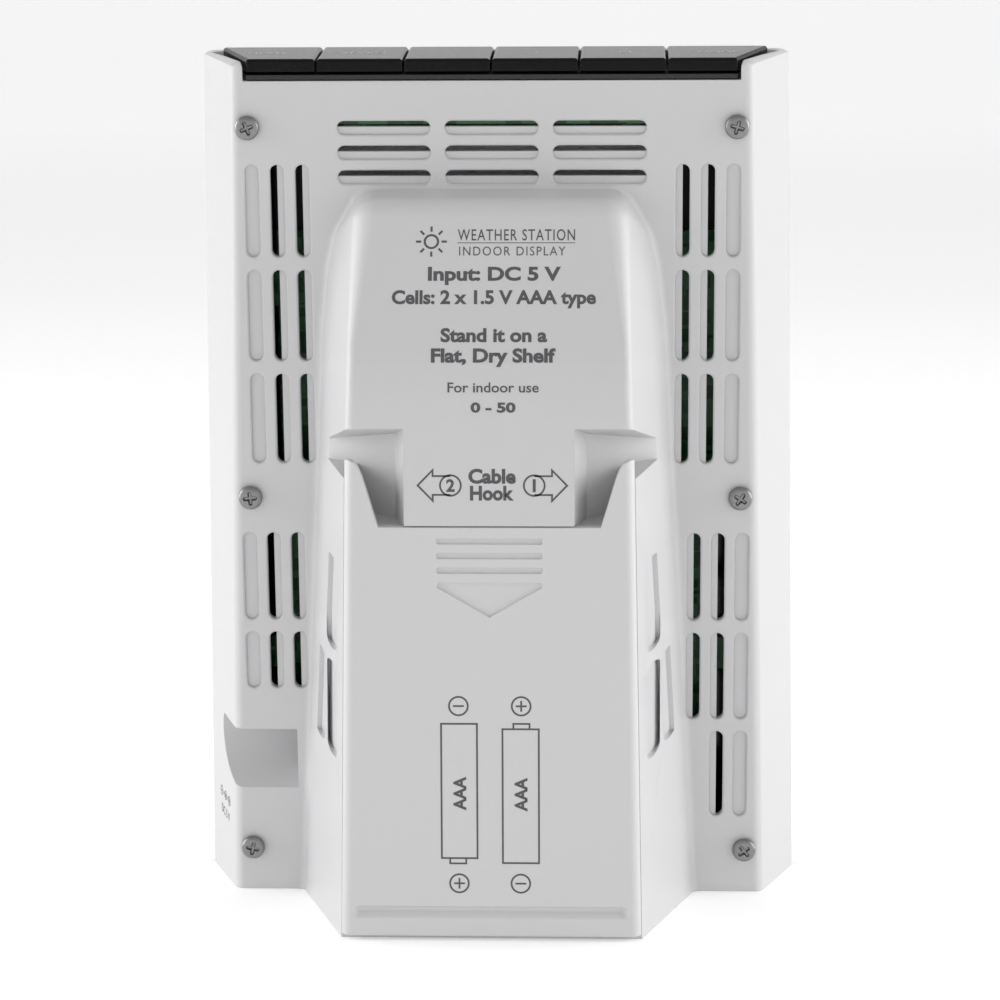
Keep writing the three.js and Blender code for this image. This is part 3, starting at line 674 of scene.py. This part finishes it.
NOSE_LOW, NOSE_HIGH = 44, 62        # two heights on the flat of the nose, over the panel's middle
nose_low_y, nose_high_y = case_depth(0, NOSE_LOW), case_depth(0, NOSE_HIGH)
NOSE_LEAN = math.atan2(nose_low_y - nose_high_y, NOSE_HIGH - NOSE_LOW)
NOSE = PANEL @ Matrix.Translation((0, nose_low_y * MM, NOSE_LOW * MM)) \
    @ Matrix.Rotation(NOSE_LEAN, 4, "X")


def on_nose(height):
    """Distance up the nose's slope for a height above the panel's mid line."""
    return (height - NOSE_LOW) / math.cos(NOSE_LEAN)


label = Print("label_print", NOSE, "print_grey", "root")
sun_x, sun_y = -13.2, on_nose(65.3)
label.circle(sun_x, sun_y, 1.75, 0.5)
for ray in range(8):
    angle = math.radians(45 * ray)
    across = (-math.sin(angle) * 0.25, math.cos(angle) * 0.25)
    near = (sun_x + 2.3 * math.cos(angle), sun_y + 2.3 * math.sin(angle))
    far = (sun_x + 3.5 * math.cos(angle), sun_y + 3.5 * math.sin(angle))
    label.plate([(near[0] - across[0], near[1] - across[1]),
                 (far[0] - across[0], far[1] - across[1]),
                 (far[0] + across[0], far[1] + across[1]),
                 (near[0] + across[0], near[1] + across[1])])
label.text("WEATHER STATION", 6.0, on_nose(66.7), 2.6, 26.5, 0.02, spacing=1.15)
label.rect(-7.3, 19.3, on_nose(64.95), on_nose(65.1))
label.text("INDOOR DISPLAY", 5.1, on_nose(63.3), 2.1, 24.0, 0.0, spacing=1.2)
label.text("Input: DC 5 V", 1.1, on_nose(58.1), 3.0, 30.0, 0.16)
label.text("Cells: 2 x 1.5 V AAA type", 1.0, on_nose(53.2), 3.0, 46.0, 0.15)
label.text("Stand it on a", 1.1, on_nose(45.7), 3.0, 24.0, 0.16)
label.finish()


def bend_line(name, words, height, size, width, weight):
    """One line of the label where the nose bends into the face over the neck."""
    low, high = height - size / 2, height + size / 2
    low_y, high_y = case_depth(0, low), case_depth(0, high)
    tilt = math.atan2(low_y - high_y, high - low)
    place = PANEL @ Matrix.Translation((0, (low_y + high_y) / 2 * MM, height * MM)) \
        @ Matrix.Rotation(tilt, 4, "X")
    art = Print(name, place, "print_grey", "root", BEND_INK, BEND_SUNK)
    art.text(words, 1.0, 0, size, width, weight)
    art.finish()


bend_line("label_print_shelf", "Flat, Dry Shelf", 41.0, 3.0, 28.0, 0.16)
bend_line("label_print_indoor", "For indoor use", 34.6, 2.2, 20.5, 0.04)
bend_line("label_print_range", "0 - 50", 30.2, 2.1, 10.1, 0.12)


# ---- inlet marking on the side wall -------------------------------------------------------
def side_wall_frame(x_sign, forward, height):
    """Frame on the flaring side wall: X along it towards the front, Z out of it."""
    near = Vector((x_sign * BESIDE, -forward, height)) * MM
    start = PANEL @ near
    toward = (PANEL.to_3x3() @ Vector((-x_sign, 0, 0))).normalized()
    place, normal, _, _ = CASE.ray_cast(start, toward)
    up = (PANEL.to_3x3() @ Vector((0, 0, 1)))
    up = (up - normal * up.dot(normal)).normalized()
    right = up.cross(normal)
    frame_matrix = Matrix((right, up, normal)).transposed().to_4x4()
    frame_matrix.translation = place
    return frame_matrix


side_place = side_wall_frame(1, 12, -80) @ FLIP.inverted()
side_art = Print("inlet_print", side_place, "print_grey", "root")
side_art.text("DC 5 V", 0.0, -2.4, 2.2, 9.0, 0.04)
side_art.circle(-4.2, 2.0, 1.3, 0.3)
side_art.rect(-4.9, -3.5, 1.85, 2.15)
side_art.circle(4.2, 2.0, 1.3, 0.3)
side_art.rect(3.5, 4.9, 1.85, 2.15)
side_art.rect(4.05, 4.35, 2.15, 2.7)
side_art.rect(4.05, 4.35, 1.3, 1.85)
side_art.circle(0.0, 2.0, 1.2, 0.3)
side_art.disc(0.0, 2.0, 0.5)
side_art.rect(-2.9, -1.2, 1.88, 2.12)
side_art.rect(0.5, 2.9, 1.88, 2.12)
side_art.finish()


# ---- key labels ---------------------------------------------------------------------------
KEY_WORDS = ("MODE", "SET", "+", "-", "ALARM", "LIGHT")
KEY_TOP = 104.6         # tops of the keys above the panel's middle
KEY_DEPTH = -10.5       # middle of the keys, in from the panel
for number, words in enumerate(KEY_WORDS, 1):
    low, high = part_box(f"button_{number}")
    middle = (low + high) / 2
    top = PANEL @ Matrix.Translation((0, KEY_DEPTH * MM, KEY_TOP * MM))
    top.translation.x = middle.x
    # Known fault: this turns the words' outer side down into the key, so they read mirrored
    # from above. top @ FLIP.inverted() would face them up, to be read from the front.
    half_turn = Matrix.Rotation(math.radians(180), 4, "Z")
    flat = top @ half_turn @ Matrix.Rotation(math.radians(90), 4, "X") @ half_turn
    mark = Print(f"key_print_{number}", flat, "print_pale", f"key_{number}", KEY_INK, KEY_SUNK)
    mark.text(words, 0, 0, 2.3, None, 0.03)
    mark.finish()


# ---- display artwork ----------------------------------------------------------------------
GLASS_Y = -24.9         # front of the display, in from the panel
GLASS = PANEL @ Matrix.Translation((0, GLASS_Y * MM, 0)) \
    @ Matrix.Rotation(math.radians(180), 4, "Z")
ART_TOP, ART_BOTTOM = 0.08, 0.03    # the artwork floats clear of the display
BAR = 0.19              # breadth of a segment as a share of its figure's width
SLANT = 0.09            # sideways lean of the figures for each step up
SEGMENTS = {"0": "abcdef", "1": "bc", "2": "abged", "3": "abgcd", "4": "fgbc", "5": "afgcd",
            "6": "afgedc", "7": "abc", "8": "abcdefg", "9": "abcdfg"}


def digit(art, value, x, y, width, height):
    """One seven-segment figure, leaning a little, with its lower left corner at x, y."""
    t = width * BAR
    half = height / 2
    bars = {
        "a": (t * 0.6, width - t * 0.6, height - t, height), "d": (t * 0.6, width - t * 0.6, 0, t),
        "g": (t * 0.6, width - t * 0.6, half - t / 2, half + t / 2),
        "f": (0, t, half + t * 0.35, height - t * 0.6), "e": (0, t, t * 0.6, half - t * 0.35),
        "b": (width - t, width, half + t * 0.35, height - t * 0.6),
        "c": (width - t, width, t * 0.6, half - t * 0.35),
    }
    for name in SEGMENTS[value]:
        x0, x1, y0, y1 = bars[name]
        trim = t * 0.42
        if x1 - x0 > y1 - y0:
            mid = (y0 + y1) / 2
            shape = [(x0 + trim, y0), (x1 - trim, y0), (x1, mid), (x1 - trim, y1),
                     (x0 + trim, y1), (x0, mid)]
        else:
            mid = (x0 + x1) / 2
            shape = [(mid, y0), (x1, y0 + trim), (x1, y1 - trim), (mid, y1), (x0, y1 - trim),
                     (x0, y0 + trim)]
        art.plate([(x + px + SLANT * py, y + py) for px, py in shape])


def number_row(art, figures, x, y, width, height, pitch):
    """Figures side by side."""
    for place, value in enumerate(figures):
        digit(art, value, x + place * pitch, y, width, height)


def panel_art(name, material):
    return Print(name, GLASS, material, "root", ART_TOP, -ART_BOTTOM)


clock = panel_art("display_clock", "lit_white")
number_row(clock, "10", -33, 60, 12, 22, 15.5)
number_row(clock, "28", 3.5, 60, 12, 22, 15.5)
clock.disc(0.2, 66, 1.3)
clock.disc(0.9, 75, 1.3)
clock.text("AM", 40.5, 78, 3.2)
clock.text("TUE", -26, 52.5, 3.4)
number_row(clock, "12", -4, 50.5, 4, 6.5, 5.4)
clock.text("MONTH", 14, 48.6, 1.6)
for line_low, line_high in ((45.3, 45.6), (-1.2, -0.9), (-38.2, -37.9)):
    clock.rect(-42, 42, line_low, line_high)
clock.finish()

outdoor = panel_art("display_outdoor", "lit_blue")
outdoor.text("OUTDOOR", -30, 39.5, 3.0)
number_row(outdoor, "64", -34, 6, 15, 27, 19.5)
outdoor.circle(5.5, 31, 2.0, 0.8)
outdoor.text("F", 11, 30.5, 4.6)
number_row(outdoor, "47", 18, 6, 7.5, 13, 10)
outdoor.text("%", 40, 9, 4.2)
outdoor.finish()

forecast = panel_art("display_forecast", "lit_green")
forecast.text("FORECAST", -28, -7, 3.0)
for step in range(6):
    forecast.rect(10 + step * 5.2, 13.6 + step * 5.2, -34, -31 + step * 2.4)
forecast.finish()

sky = panel_art("display_sky", "lit_amber")
sky.disc(-24, -20, 5.2)
for ray in range(10):
    angle = math.radians(36 * ray + 10)
    sky.plate([(-24 + r * math.cos(angle + w), -20 + r * math.sin(angle + w))
               for r, w in ((6.8, -0.10), (9.6, -0.04), (9.6, 0.04), (6.8, 0.10))])
sky.finish()

indoor = panel_art("display_indoor", "lit_amber")
indoor.text("INDOOR", -31, -43.5, 3.0)
number_row(indoor, "71", -34, -72, 13, 23, 17.5)
indoor.circle(1.5, -51, 1.8, 0.7)
indoor.text("F", 6.5, -51.5, 4.2)
number_row(indoor, "52", 17, -72, 7.5, 13, 10)
indoor.text("%", 39, -69, 4.2)
indoor.finish()
